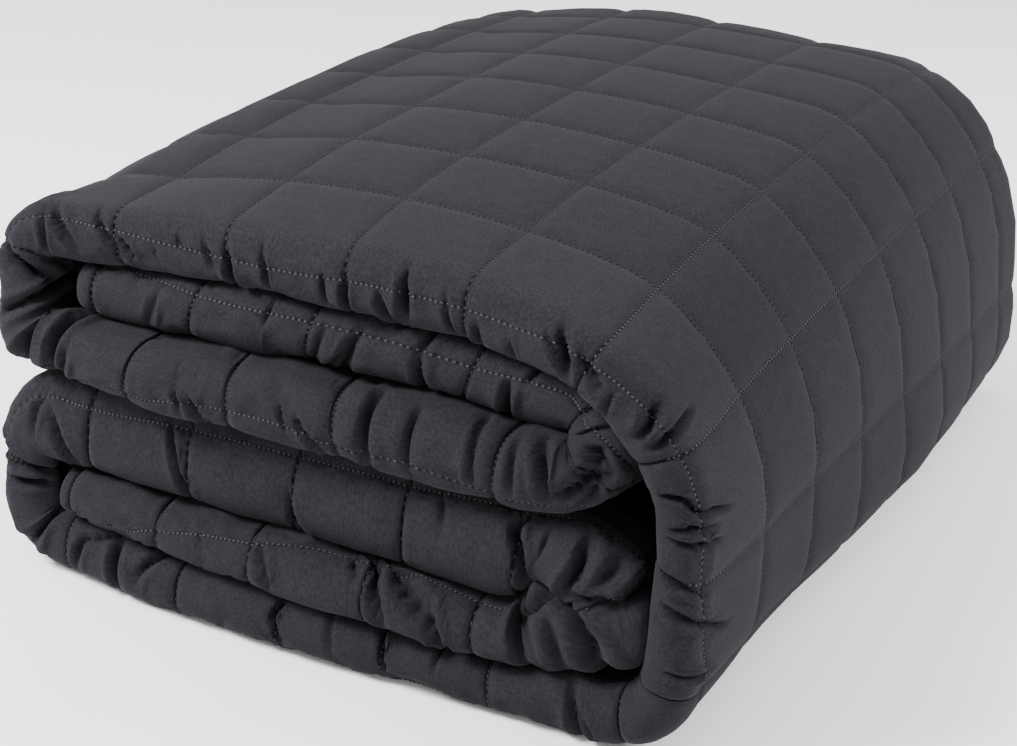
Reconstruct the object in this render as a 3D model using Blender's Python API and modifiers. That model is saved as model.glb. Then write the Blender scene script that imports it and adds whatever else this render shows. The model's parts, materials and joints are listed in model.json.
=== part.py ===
"""Weighted blanket, quilted in squares and folded into a bundle of six tiers.

Metres, +Z up. The bundle stands on Z = 0 with its layered front towards -Y, its open
folds at -X and the one big fold that wraps the other tiers at +X.

The blanket is made flat, as a grid with Solidify. Each point is then carried from its
place on the flat cloth to its place in the bundle: across the width the cloth is
folded in thirds, and along the length the three plies are folded into six tiers.
Lengths on the cloth are counted in quilted squares, so seams lie at whole numbers.
"""
import math

import bmesh
import bpy
import numpy as np

NAME = "weighted_blanket"
SQUARE = 0.0508                  # side of one quilted square, 2 inches
PLY = 0.0091 / SQUARE            # height that one ply takes up in the bundle
PUFF = 0.0083 / SQUARE           # thickness of a ply in the middle of a square
SEAM_DEPTH = 0.0030 / SQUARE     # how far a seam draws the face in
HEM = 0.0034 / SQUARE            # thickness along the free edges
GROOVE = 0.14                    # from a seam to the full puff of the square
EDGE_GROOVE = 0.10               # the same in the short rows along the front fold
TIER = 3 * PLY                   # three plies to a tier
HEIGHT = 6 * TIER                # six tiers to the bundle

# Across the width. Whole numbers are seams; 0 is the seam along the front edge.
HEM_UNDER = -8.25                # free hem of the ply that lies underneath
FRONT_TURN = (-0.62, -0.08)      # the front fold, round the middle ply's hem
BACK_TURN = (7.51, 7.78)         # the back fold, two plies thick
TOP_FRONT_SEAM = -0.35           # the front seam sits lower on the top tier's edge
HEM_MIDDLE = 15.25               # free hem of the ply in the middle
STATIONS = (1.0, 4.0, 7.0)       # where every ply has a row of points
LAST_SEAM = 7                    # the last seam on the outer ply

# Along the length. A mark is (x in squares, seam number); the level is that of the
# tier's middle, counted in plies. A heading of 1 runs to +X, and -1 to -X.
TIERS = {
    "second": dict(level=13.5, heading=1, marks=(
        (0.73, -0.2), (0.92, 0), (1.84, 1), (2.81, 2), (4.00, 3), (4.58, 3.8))),
    "third": dict(level=10.5, heading=-1, marks=(
        (4.58, 5.7), (4.40, 6), (3.15, 7), (2.18, 8), (1.30, 9), (0.74, 9.6))),
    "top": dict(level=16.5, heading=1, marks=(
        (0.74, 11.7), (1, 12), (2, 13), (3, 14), (4, 15), (4.70, 15.7))),
    "bottom": dict(level=1.5, heading=-1, marks=(
        (4.70, 20.65), (4.36, 21), (3.50, 22), (2.61, 23), (1.71, 24), (0.74, 24.9))),
    "fourth": dict(level=7.5, heading=1, marks=(
        (0.74, 26.8), (0.88, 27), (1.79, 28), (2.70, 29), (3.63, 30), (4.57, 31),
        (4.72, 31.15))),
    "fifth": dict(level=4.5, heading=-1, marks=(
        (4.72, 32.5), (4.29, 33), (3.43, 34), (2.43, 35), (1.54, 36), (0.80, 37),
        (0.65, 37.2))),
}
ORDER = ("second", "third", "top", "bottom", "fourth", "fifth")
BIG_FOLD_REACH = 1.09            # how far the big fold's middle ply stands out
BIG_FOLD_SQUARENESS = (1.95, 3.2)  # above and below; 2 is an ellipse, more is squarer
BIG_FOLD_SEAMS = (               # (share of the way round, seam number)
    (0.0, 15.7), (0.065, 16), (0.26, 17), (0.50, 18), (0.71, 19), (0.87, 20), (1.0, 20.65))
COLUMNS = (                      # (first seam, last seam, points to a square)
    (0, 4, 2), (4, 6, 4), (6, 9, 2), (9, 12, 3), (12, 25, 2), (25, 27, 3),
    (27, 31, 2), (31, 33, 4), (33, 37, 2))
OUTSIDE = (10, 27)               # seams between which the outer ply shows all over
TOP_END = 20                     # the seam where the big fold turns underneath

# How the bundle settles, in squares.
FRONT_SETBACK = (                # (seam number, how far that stretch lies back)
    (-0.2, 0.30), (0.5, 0.23), (4, 0.22), (5.5, 0.05), (7, -0.04), (9, -0.04),
    (10.5, 0.20), (12, 0.24), (14, 0.14), (15, 0.05), (16, 0.0), (18, 0.05), (21, 0.04),
    (24, 0.06), (25.5, 0.22), (27, 0.20), (31, 0.18), (32.5, 0.05), (36, 0.04),
    (37.2, 0.16))
BACK_SETBACK = (
    (-0.2, -0.20), (4, -0.08), (8, 0.04), (12, -0.04), (17, 0.05), (22, 0.03),
    (28, -0.10), (33, 0.02), (37.2, -0.15))
RISE_ACROSS = (                  # (y, how much higher the top is there)
    (-0.4, -0.03), (1.0, 0.06), (4.0, 0.21), (7.0, 0.20), (7.7, 0.17))
ARCH = (2.8, 0.045)              # the top falls off from this x by this much, squared
ARCH_AT_FRONT = 0.3              # share of the arch that is left along the front edge
NEAR_CORNER = (3.0, 4.0, 0.004)  # the top sags more beyond this x and before this y
SKEW = ((-0.3, 0.16), (1.0, 0.01), (4.0, -0.08), (7.7, -0.20))  # (y, x shift of the top)
SKEW_ENDS = (3.0, 6.0)           # the skew fades out between these x


def turn_rows(x, start, end, reach, squareness, seams):
    """Rows of (seam, x, level, normal x, normal level) clockwise round one fold."""
    middle = (start + end) / 2
    rise = abs(start - end) / 2
    first_angle = math.copysign(math.pi / 2, start - end)
    angle = first_angle - np.linspace(0, math.pi, 181)
    across, up = np.cos(angle), np.sin(angle)
    power = np.where(up > 0, 2 / squareness[0], 2 / squareness[1])
    px = reach * np.sign(across) * abs(across) ** power
    pz = rise * np.sign(up) * abs(up) ** power
    normal_x = np.sign(across) * abs(across) ** (2 - power) / reach
    normal_z = np.sign(up) * abs(up) ** (2 - power) / rise
    length = np.hypot(normal_x, normal_z)
    along = np.append(0, np.cumsum(np.hypot(np.diff(px), np.diff(pz))))
    seam = np.interp(along / along[-1], *zip(*seams))
    return np.column_stack(
        (seam, x + px, middle + pz, normal_x / length, normal_z / length))


def tier_rows(level, heading, marks):
    """The same rows along one straight tier."""
    return np.array([(seam, x, level * PLY, 0.0, heading) for x, seam in marks])


def path_rows():
    """The middle ply's way through the whole bundle, tier by tier."""
    rows = []
    for name, following in zip(ORDER, ORDER[1:] + (None,)):
        here = TIERS[name]
        rows.append(tier_rows(**here))
        if following is None:
            break
        there = TIERS[following]
        x, first = here["marks"][-1]
        last = there["marks"][0][1]
        start, end = here["level"] * PLY, there["level"] * PLY
        shape = (abs(start - end) / 2, (2, 2), ((0, first), (1, last)))
        if name == "top":
            shape = (BIG_FOLD_REACH, BIG_FOLD_SQUARENESS, BIG_FOLD_SEAMS)
        rows.append(turn_rows(x, start, end, *shape)[1:-1])
    return np.concatenate(rows)


def seam_columns():
    """Seam numbers of the columns of points, closer together round the folds."""
    columns = [TIERS["second"]["marks"][0][1], TIERS["fifth"]["marks"][-1][1], 37]
    for first, last, steps in COLUMNS:
        columns += [first + k / steps for k in range((last - first) * steps)]
    return np.array(sorted(columns))


def width_rows():
    """Places across the cloth: a row to a square outside, few on the hidden plies."""
    front, back = FRONT_TURN, BACK_TURN
    rows = [HEM_UNDER, HEM_MIDDLE]
    rows += [front[0] + front[1] - y for y in STATIONS]
    rows += [back[0] + back[1] - y for y in STATIONS]
    rows += list(np.linspace(*front, 5))
    rows += list(range(1, LAST_SEAM + 1))
    rows += list(np.linspace(*back, 4))
    return np.array(sorted(rows))


def across(width):
    """Place (y, plies out from the middle one) of the cloth, and its face's normal."""
    front, back = FRONT_TURN, BACK_TURN
    y = np.interp(width, (HEM_UNDER, front[0], front[1], back[0], back[1], HEM_MIDDLE),
                  (front[1] + front[0] - HEM_UNDER, front[1], front[1], back[0],
                   back[0], back[0] + back[1] - HEM_MIDDLE))
    out = np.where(width < front[1], -PLY, np.where(width > back[0], 0.0, PLY))
    normal_y = np.zeros_like(width)
    normal_out = np.where((width < front[1]) | (width > back[0]), -1.0, 1.0)

    share = (width - front[0]) / (front[1] - front[0])
    inside = (share > 0) & (share < 1)
    angle = -math.pi * (0.5 + share)
    y = np.where(inside, front[1] + PLY * np.cos(angle), y)
    out = np.where(inside, PLY * np.sin(angle), out)
    normal_y = np.where(inside, np.cos(angle), normal_y)
    normal_out = np.where(inside, np.sin(angle), normal_out)

    share = (width - back[0]) / (back[1] - back[0])
    inside = (share > 0) & (share < 1)
    angle = math.pi * (0.5 - share)
    y = np.where(inside, back[0] + PLY / 2 * np.cos(angle), y)
    out = np.where(inside, PLY / 2 * (1 + np.sin(angle)), out)
    normal_y = np.where(inside, np.cos(angle), normal_y)
    normal_out = np.where(inside, np.sin(angle), normal_out)
    return y, out, normal_y, normal_out


def front_seam(seam):
    """Where on the cloth's width the seam along the front edge lies."""
    on_top = (seam > OUTSIDE[0] - 0.01) & (seam < TOP_END + 0.01)
    return np.where(on_top, TOP_FRONT_SEAM, FRONT_TURN[1])


def face_level(seam, width, face):
    """Height of the ply's faces above its middle: puffed squares, seams drawn in."""
    on_seam = abs(seam - np.rint(seam)) < 0.01
    on_line = (abs(width - np.rint(width)) < 0.01) | (abs(width - front_seam(seam)) < 0.01)
    outer = (width > FRONT_TURN[0] + 0.01) & (width < BACK_TURN[1] - 0.01)
    hidden = (width > 0.5) & (width < LAST_SEAM + 0.5)
    hidden &= (seam < OUTSIDE[0] - 0.01) | (seam > OUTSIDE[1] + 0.01)
    drawn_in = (face > 0) & (on_seam | on_line) & outer & ~hidden
    half = np.where(drawn_in, PUFF / 2 - SEAM_DEPTH, PUFF / 2)
    free_edge = (width < HEM_UNDER + 0.01) | (width > HEM_MIDDLE - 0.01)
    free_edge |= (seam < -0.19) | (seam > 37.19)
    return face * np.where(free_edge, HEM / 2, half)


def settle(x, y, z, seam):
    """Let the stacked tiers settle: uneven edges, and an arched top, a little askew."""
    near_front = np.clip(1 - y, 0, 1)
    near_back = np.clip(y - 6.5, 0, 1)
    y = y + near_front * np.interp(seam, *zip(*FRONT_SETBACK))
    y = y + near_back * np.interp(seam, *zip(*BACK_SETBACK))
    crest, fall = ARCH
    corner_x, corner_y, corner_fall = NEAR_CORNER
    sag = fall * (x - crest) ** 2
    sag += corner_fall * np.clip(x - corner_x, 0, None) ** 2 * np.clip(corner_y - y, 0, None)
    sag *= np.interp(y, (-0.3, 1), (ARCH_AT_FRONT, 1))
    rise = np.interp(y, *zip(*RISE_ACROSS)) - sag
    height = np.clip(z - PLY, 0, None) / (HEIGHT - PLY)
    fade = np.interp(x, SKEW_ENDS, (1, 0))
    x = x + np.interp(y, *zip(*SKEW)) * fade * height
    return x, y, z + rise * height


def folded(seam, width, level):
    """Carry points of the flat cloth to the bundle, in squares."""
    path = path_rows()
    x, z, normal_x, normal_z = (np.interp(seam, path[:, 0], path[:, k])
                                for k in (1, 2, 3, 4))
    y, out, normal_y, normal_out = across(width)
    y = y + level * normal_y
    out = out + level * normal_out
    return settle(x + out * normal_x, y, z + out * normal_z, seam)


def flat_blanket(columns, rows):
    """The flat cloth as one closed slab: x counts squares along it, y across it."""
    mesh = bpy.data.meshes.new("flat_cloth")
    sheet = bmesh.new()
    steps_x, steps_y = len(columns) - 1, len(rows) - 1
    bmesh.ops.create_grid(sheet, x_segments=steps_x, y_segments=steps_y, size=0.5)
    for point in sheet.verts:
        point.co.x = columns[round((point.co.x + 0.5) * steps_x)]
        point.co.y = rows[round((point.co.y + 0.5) * steps_y)]
    sheet.to_mesh(mesh)
    sheet.free()
    cloth = bpy.data.objects.new("flat_cloth", mesh)
    bpy.context.scene.collection.objects.link(cloth)
    slab = cloth.modifiers.new("both_faces", "SOLIDIFY")
    slab.thickness = PUFF
    slab.offset = 0.0
    graph = bpy.context.evaluated_depsgraph_get()
    closed = bpy.data.meshes.new_from_object(cloth.evaluated_get(graph))
    bpy.data.objects.remove(cloth)
    bpy.data.meshes.remove(mesh)
    return closed


def quilt(mesh):
    """Give each square that shows a rim, so that its middle stands above its seams."""
    work = bmesh.new()
    work.from_mesh(mesh)
    squares = {}
    for face in work.faces:
        centre = face.calc_center_median()
        along, over = math.floor(centre.x), math.floor(centre.y)
        front = front_seam(centre.x)
        on_front = FRONT_TURN[0] < centre.y < front
        on_outer = front < centre.y < LAST_SEAM
        in_range = 0 <= along < 37
        outside = OUTSIDE[0] <= along < OUTSIDE[1] and on_outer
        if centre.z > PUFF / 4 and in_range and (on_front or outside):
            row = "front" if on_front else max(over, 0)
            squares.setdefault((along, row), []).append(face)
    for (_, row), faces in squares.items():
        width = EDGE_GROOVE if row in ("front", 0) else GROOVE
        bmesh.ops.inset_region(work, faces=faces, thickness=width)
    work.to_mesh(mesh)
    work.free()
    return len(squares)


def cloth_material():
    material = bpy.data.materials.new("charcoal_microfibre")
    material.use_nodes = True
    shader = material.node_tree.nodes["Principled BSDF"]
    shader.inputs["Base Color"].default_value = (0.052, 0.052, 0.058, 1.0)
    shader.inputs["Roughness"].default_value = 0.9
    shader.inputs["Metallic"].default_value = 0.0
    return material


def build():
    for old in list(bpy.data.objects):
        bpy.data.objects.remove(old)

    mesh = flat_blanket(seam_columns(), width_rows())
    raised = quilt(mesh)
    points = np.empty(len(mesh.vertices) * 3)
    mesh.vertices.foreach_get("co", points)
    seam, width, side = points.reshape(-1, 3).T
    places = folded(seam, width, face_level(seam, width, np.sign(side)))
    places = np.column_stack(places) * SQUARE
    low, high = places.min(axis=0), places.max(axis=0)
    centre = (low + high) / 2
    places -= (centre[0], centre[1], low[2])
    mesh.vertices.foreach_set("co", places.ravel())
    mesh.update()

    mesh.name = NAME
    mesh.materials.append(cloth_material())
    mesh.shade_smooth()
    blanket = bpy.data.objects.new(NAME, mesh)
    collection = bpy.data.collections.new("folded_blanket")
    bpy.context.scene.collection.children.link(collection)
    collection.objects.link(blanket)
    print("size in metres", np.round(high - low, 4), "raised squares", raised)


build()
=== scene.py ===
# %% [markdown]
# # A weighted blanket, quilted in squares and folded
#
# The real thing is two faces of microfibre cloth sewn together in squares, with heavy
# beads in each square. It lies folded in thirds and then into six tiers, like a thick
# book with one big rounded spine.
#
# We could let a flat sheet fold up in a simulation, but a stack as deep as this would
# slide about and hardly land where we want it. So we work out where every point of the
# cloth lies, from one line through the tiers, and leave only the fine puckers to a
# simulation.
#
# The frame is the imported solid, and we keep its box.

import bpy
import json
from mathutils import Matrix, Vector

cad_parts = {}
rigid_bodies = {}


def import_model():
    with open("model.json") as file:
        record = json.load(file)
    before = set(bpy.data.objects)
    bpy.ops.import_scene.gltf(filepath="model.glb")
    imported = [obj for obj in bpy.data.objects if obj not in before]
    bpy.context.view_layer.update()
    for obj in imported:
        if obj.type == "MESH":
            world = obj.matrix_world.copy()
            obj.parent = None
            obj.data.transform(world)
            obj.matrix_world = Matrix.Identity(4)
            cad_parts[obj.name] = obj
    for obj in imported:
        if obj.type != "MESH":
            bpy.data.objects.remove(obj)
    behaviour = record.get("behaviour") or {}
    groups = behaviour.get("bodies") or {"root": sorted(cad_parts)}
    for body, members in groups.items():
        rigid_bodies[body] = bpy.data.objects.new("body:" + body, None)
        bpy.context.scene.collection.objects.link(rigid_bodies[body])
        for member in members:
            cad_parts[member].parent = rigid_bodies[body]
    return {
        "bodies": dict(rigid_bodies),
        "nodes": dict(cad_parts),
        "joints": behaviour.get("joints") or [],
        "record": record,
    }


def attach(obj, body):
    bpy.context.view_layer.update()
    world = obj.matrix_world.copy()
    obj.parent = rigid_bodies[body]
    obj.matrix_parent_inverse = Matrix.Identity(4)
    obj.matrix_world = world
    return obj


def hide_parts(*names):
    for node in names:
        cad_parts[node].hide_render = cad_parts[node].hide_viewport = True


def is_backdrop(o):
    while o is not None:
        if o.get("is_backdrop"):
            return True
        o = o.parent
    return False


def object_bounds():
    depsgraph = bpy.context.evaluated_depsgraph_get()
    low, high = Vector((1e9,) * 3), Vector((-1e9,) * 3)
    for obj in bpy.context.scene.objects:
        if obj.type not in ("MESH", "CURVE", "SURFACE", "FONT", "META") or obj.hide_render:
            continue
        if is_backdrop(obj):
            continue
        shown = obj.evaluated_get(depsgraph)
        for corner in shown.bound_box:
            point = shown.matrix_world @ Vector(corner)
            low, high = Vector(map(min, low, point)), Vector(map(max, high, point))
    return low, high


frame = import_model()
cad_low, cad_high = (list(corner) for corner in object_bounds())
print("solid's box in mm:", [round(1000 * (b - a), 1) for a, b in zip(cad_low, cad_high)])

# %% [markdown]
# ## Count in squares
#
# Everything on a quilt is easiest to place in squares: seam 12 is twelve squares from
# the end of the cloth. One square is 2 inches. We could work in metres, but then no
# number would say which seam it belongs to. The cloth is folded round nearly the same
# line as the solid. Only some turns and edges are blunter or fuller, as soft cloth is.

# %% Sizes
import math

import bpy
import numpy as np

SQUARE = 0.0508                       # side of one quilted square, in metres
MM = 0.001 / SQUARE                   # one millimetre, in squares
PLY = 9.1 * MM                        # height that one ply takes up
PUFF = 8.3 * MM                       # thickness of a ply between its seams
HEM = 3.4 * MM                        # thickness at the free edges
HEIGHT = 18 * PLY                     # six tiers of three plies
CENTRE = (2.917, 3.663, 0.008)        # the footprint's middle, and its lowest point

# %% [markdown]
# ## The way through the tiers
#
# Seen from the front, the cloth runs along one tier, turns, and runs back along the
# next. Each tier is a list of marks (x, seam). The inner turns at the right are round,
# the turns at the left are squashed blunt, and the big fold is round above and nearly
# square below, where the weight of the bundle presses it on to the ground.
#
# We could draw this line as a Bezier curve by hand. A superellipse is easier: one
# formula makes every turn, and one number says how square it is.

# %% Tiers
# name: (level in plies, 1 to the right or -1 to the left, marks (x, seam number))
TIERS = {
    "second": (13.5, 1, ((0.73, -0.2), (0.92, 0), (1.84, 1), (2.81, 2), (4.00, 3),
                         (4.83, 3.9))),
    "third": (10.5, -1, ((4.83, 5.6), (4.40, 6), (3.15, 7), (2.18, 8), (1.30, 9),
                         (0.74, 9.6))),
    "top": (16.5, 1, ((0.74, 11.7), (1, 12), (2, 13), (3, 14), (4, 15), (4.70, 15.7))),
    "bottom": (1.5, -1, ((4.70, 20.65), (4.36, 21), (3.50, 22), (2.61, 23), (1.71, 24),
                         (0.74, 24.9))),
    "fourth": (7.5, 1, ((0.74, 26.8), (0.88, 27), (1.79, 28), (2.70, 29), (3.63, 30),
                        (4.57, 31), (4.76, 31.2))),
    "fifth": (4.5, -1, ((4.76, 32.5), (4.29, 33), (3.43, 34), (2.43, 35), (1.54, 36),
                        (0.80, 37), (0.65, 37.2))),
}
print("tiers:", len(TIERS), "marks:", sum(len(marks) for _, _, marks in TIERS.values()))

# %% Turns
TURN_POINTS = 361                     # points round one turn
ROUND = (2, 2)                        # squareness of a turn's upper and lower half
BLUNT = (4.5, 3.6)
INNER_REACH = 0.56                    # the lower right turn bulges further than it is high
BIG_FOLD = dict(reach=1.09, squareness=(1.95, 6), seams=(      # (share of the way, seam)
    (0.0, 15.7), (0.063, 16), (0.25, 17), (0.478, 18), (0.708, 19), (0.862, 20),
    (1.0, 20.65)))


def turn(x, start, end, reach, squareness, seams):
    """Rows (seam, x, level, normal x, normal level) clockwise round one fold."""
    rise = abs(start - end) / 2
    angle = math.copysign(math.pi / 2, start - end) - np.linspace(0, math.pi, TURN_POINTS)
    right, up = np.cos(angle), np.sin(angle)
    power = np.where(up > 0, 2 / squareness[0], 2 / squareness[1])
    px = reach * np.sign(right) * abs(right) ** power
    pz = rise * np.sign(up) * abs(up) ** power
    normal_x = np.sign(right) * abs(right) ** (2 - power) / reach
    normal_z = np.sign(up) * abs(up) ** (2 - power) / rise
    length = np.hypot(normal_x, normal_z)
    along = np.append(0, np.cumsum(np.hypot(np.diff(px), np.diff(pz))))
    seam = np.interp(along / along[-1], *zip(*seams))
    return np.column_stack((seam, x + px, (start + end) / 2 + pz,
                            normal_x / length, normal_z / length))


def whole_way():
    """The rows of all tiers and turns, from the first seam to the last."""
    rows = []
    names = list(TIERS)
    for name, following in zip(names, names[1:] + [None]):
        level, heading, marks = TIERS[name]
        rows.append([(seam, x, level * PLY, 0, heading) for x, seam in marks])
        if following is None:
            return np.concatenate(rows)
        next_level, _, next_marks = TIERS[following]
        (x, first), last = marks[-1], next_marks[0][1]
        at_right = heading > 0
        shape = dict(reach=abs(level - next_level) * PLY / 2,
                     squareness=ROUND if at_right else BLUNT,
                     seams=((0, first), (1, last)))
        if name == "top":
            shape = BIG_FOLD
        if name == "fourth":
            # seam 32 lies 0.42 of the way round
            shape.update(reach=INNER_REACH, seams=((0, first), (0.42, 32), (1, last)))
        rows.append(turn(x, level * PLY, next_level * PLY, **shape)[1:-1])


WAY = whole_way()
print("points on the way through the tiers:", len(WAY))

# %% [markdown]
# ## Folded in thirds
#
# Across its width the cloth goes under, round the front edge, over the top, round the
# back and inside. So a tier has three plies, and its front edge is a small round fold.
# Three separate sheets would look the same from above, but at the front edge everyone
# sees that the cloth goes round. So here too a formula bends one sheet.

# %% Across the width
FRONT_TURN = (-0.62, -0.08)           # where the front fold starts and ends
BACK_TURN = (7.51, 7.78)              # where the back fold starts and ends
HEM_UNDER, HEM_INSIDE = -8.25, 15.25  # the free edge below, and the one inside the tier
FRONT_SQUARENESS = 2.6                # 2 is a half circle, more is blunter


def across(width):
    """Place (y, plies out from the middle one) of the cloth, and its face's normal."""
    (below, front), (back, within) = FRONT_TURN, BACK_TURN
    y = np.interp(width, (HEM_UNDER, below, front, back, within, HEM_INSIDE),
                  (below + front - HEM_UNDER, front, front, back, back,
                   back + within - HEM_INSIDE))
    out = np.where(width < front, -PLY, np.where(width > back, 0.0, PLY))
    normal_y = np.zeros_like(width)
    normal_out = np.where((width < front) | (width > back), -1.0, 1.0)
    for (start, end), radius, offset, first, squareness in (
            (FRONT_TURN, PLY, 0.0, -0.5, FRONT_SQUARENESS),
            (BACK_TURN, PLY / 2, PLY / 2, 0.5, 2)):
        share = (width - start) / (end - start)
        inside = (share > 0) & (share < 1)
        angle = math.pi * (first - share)
        ahead, up = np.cos(angle), np.sin(angle)
        edge = end if first < 0 else start
        round_y = np.sign(ahead) * abs(ahead) ** (2 / squareness)
        round_out = np.sign(up) * abs(up) ** (2 / squareness)
        slope_y = np.sign(ahead) * abs(ahead) ** (2 - 2 / squareness)
        slope_out = np.sign(up) * abs(up) ** (2 - 2 / squareness)
        slope = np.hypot(slope_y, slope_out)
        y = np.where(inside, edge + radius * round_y, y)
        out = np.where(inside, offset + radius * round_out, out)
        normal_y = np.where(inside, slope_y / slope, normal_y)
        normal_out = np.where(inside, slope_out / slope, normal_out)
    return y, out, normal_y, normal_out


print("squares across the cloth:", HEM_INSIDE - HEM_UNDER)

# %% [markdown]
# ## Where the seams really lie
#
# On a real bundle the seam along the front edge wanders up and down on the round fold
# from tier to tier, and the seams that cross it lean to one side and slant on the round
# edge. At the back of the big fold they lean as well. We could push the seams about in
# the finished mesh, but then their stitches would stay behind. So the cloth's own
# coordinates are slid before they are folded. A smooth curve through a few marks is
# enough for each of these.

# %% A smooth curve
def smooth(value, marks):
    """A smooth curve through a few marks (value, result)."""
    xs, ys = (np.array(column, float) for column in zip(*marks))
    slopes = np.gradient(ys, xs)
    k = np.clip(np.searchsorted(xs, value) - 1, 0, len(xs) - 2)
    gap = xs[k + 1] - xs[k]
    t = np.clip((value - xs[k]) / gap, 0, 1)
    return ((1 + 2 * t) * (1 - t) ** 2 * ys[k] + t * (1 - t) ** 2 * gap * slopes[k]
            + t * t * (3 - 2 * t) * ys[k + 1] - t * t * (1 - t) * gap * slopes[k + 1])


hill = ((0, 0), (1, 1), (2, 0))
print("a hill of 1, halfway up:", round(float(smooth(0.5, hill)), 2))

# %% Wandering seams
FRONT_SEAM = (                        # (seam number, where the front seam lies there)
    (-0.2, -0.12), (0.5, -0.17), (1, -0.23), (2, -0.26), (2.5, -0.27), (3, -0.3),
    (3.5, -0.28), (3.75, -0.28), (4, -0.33), (4.2, -0.35), (4.4, -0.31), (4.6, -0.24),
    (4.8, -0.1), (5, -0.12), (5.5, -0.2), (6, -0.23), (6.5, -0.28), (7, -0.27),
    (7.5, -0.31), (8, -0.31), (8.5, -0.29), (9, -0.23), (9.5, -0.2), (10.5, -0.2),
    (12, -0.28), (12.5, -0.32), (13.5, -0.34), (14, -0.32), (15, -0.32), (16, -0.29),
    (17, -0.2), (18, -0.15), (19, 0.0), (20, -0.05), (21, -0.14), (24, -0.12),
    (26, -0.24), (27, -0.27), (28, -0.25), (29, -0.24), (30, -0.22), (30.5, -0.2),
    (31, -0.16), (31.4, -0.14), (31.6, -0.11), (31.8, -0.1), (32, -0.04), (32.3, 0.0),
    (32.45, -0.06), (32.6, -0.57), (32.8, -0.6), (33, -0.62), (33.7, -0.66),
    (34.3, -0.64), (35, -0.53), (35.5, -0.48), (36, -0.39),
    (36.5, -0.27), (37.2, -0.25))
FRONT_LEAN = (                        # (seam number, how far it leans along the edge)
    (0, -0.02), (1, -0.02), (2, -0.02), (3, 0.09), (4, 0.13), (5, 0.05), (6, -0.02),
    (7, -0.01), (8, -0.12), (9, -0.14), (10, 0.0), (11, 0.1), (12, 0.13), (13, 0.11),
    (14, 0.1), (15, 0.04), (16, 0.14), (17, 0.18), (18, 0.07), (19, -0.1), (20, -0.33),
    (21, -0.1), (22, -0.12), (24, -0.13), (26, 0.0), (27, 0.02), (29, 0.02), (30, 0.0),
    (31, -0.01), (32, -0.05), (33, -0.03), (35, -0.05), (36, -0.1), (37, 0.05))
FRONT_SLANT = (                       # (seam number, how far it slants on the round edge)
    (0, 0.0), (1, 0.17), (2, 0.17), (3, 0.43), (4, 0.48), (5, 0.2), (6, 0.17), (7, -0.08),
    (8, 0.0), (9, 0.28), (10, 0.0), (20, 0.0), (21, -0.21), (22, -0.18), (23, 0.0),
    (26, 0.0), (27, 0.18), (28, 0.12), (29, 0.2), (30, 0.12), (31, -0.16), (32, 0.0),
    (33, -0.24), (35, -0.19), (36, -0.05), (37, -0.13))
BACK_LEAN = ((15, 0.0), (16, 0.0), (17, 0.03), (18, 0.35), (19, 0.35), (20, 0.15),
             (21, 0.0))               # (seam number, how far it leans at the back)


def slid(seam, width):
    """The place on the fold of a point of the cloth, both in squares."""
    # the wandering fades away on the flat of a tier and under it
    fade = np.where(width > 0, np.clip(1 - width, 0, 1), np.clip(1 + width / 0.9, 0, 1))
    at_front = np.clip(1 - np.clip(width, 0, 1), 0, 1)
    # the lean at the back grows all the way from the front edge
    at_back = np.clip(width, 0, 7.5) / 7
    width = width + smooth(seam, FRONT_SEAM) * fade
    lean = smooth(seam, FRONT_LEAN)
    lean += smooth(seam, FRONT_SLANT) * np.clip(width + 0.35, -0.3, 0.35)
    return seam + lean * at_front + smooth(seam, BACK_LEAN) * at_back, width


lowest_place, highest_place = (pick(place for _, place in FRONT_SEAM) for pick in (min, max))
print("the front seam wanders over, in mm:", round((highest_place - lowest_place) / MM, 1))

# %% [markdown]
# ## Settled under its own weight
#
# The edges of the tiers aren't flush, the top is arched and fuller towards the back,
# and the near corner sags. The foot of the big fold bulges, most of all behind the
# middle. The back edge of the top droops, and its left edge is a little fuller. In
# front, the inner rolls crowd against the lip of the big fold and push it out, and the
# hollow of the lower right turn is squeezed inwards and up.
#
# Sculpting could do all this by hand. Here each of these forms is a smooth hump that
# is added to the folded place, so each has one number that can be changed by itself.

# %% How the edges lie
FRONT_SETBACK = (                     # (seam number, how far the front edge lies back)
    (-0.2, 0.30), (0.5, 0.23), (4, 0.22), (5.5, 0.05), (7, -0.04), (9, -0.04),
    (10.5, 0.20), (12, 0.24), (14, 0.19), (15, 0.21), (16, 0.03), (18, 0.05), (21, 0.04),
    (24, 0.06), (25.5, 0.22), (27, 0.20), (31, 0.18), (32.5, 0.05), (36, 0.04),
    (37.2, 0.16))
BACK_SETBACK = (                      # (seam number, how far the back edge stands out)
    (-0.2, -0.20), (4, -0.08), (8, 0.04), (12, -0.04), (17, 0.05), (22, 0.03),
    (28, -0.10), (33, 0.02), (37.2, -0.15))
SKEW = (                              # (depth, how far the top's left side slides right)
    (-0.4, 0.17), (1.0, 0.01), (4.0, -0.08), (7.7, -0.20))
FRONT_LIFT = (                        # (height in plies, how far the front edge is lifted)
    (0, 0.0), (3, -0.03), (6, -0.14), (9, 0.14), (12, 0.14), (15, 0.07), (18, 0.0))
FRONT_TILT = (                        # (height in plies, how far it rises for each square)
    (0, 0.0), (3, -0.032), (9, -0.032), (12, -0.01), (15, 0.0), (18, 0.0))


def front_lift(x, level):
    """How far the front edge is lifted above an even stack."""
    # the tilt counts from the middle of a tier and fades away on the big fold
    off_middle = np.clip(x - 1.9, -1.2, 2.4) * np.interp(x, (4.6, 5.5), (1, 0))
    lift = smooth(level, FRONT_LIFT) + off_middle * smooth(level, FRONT_TILT)
    at_left_turns = np.interp(x, (-0.1, 0.65), (0.1, 1))
    return lift * at_left_turns


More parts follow.
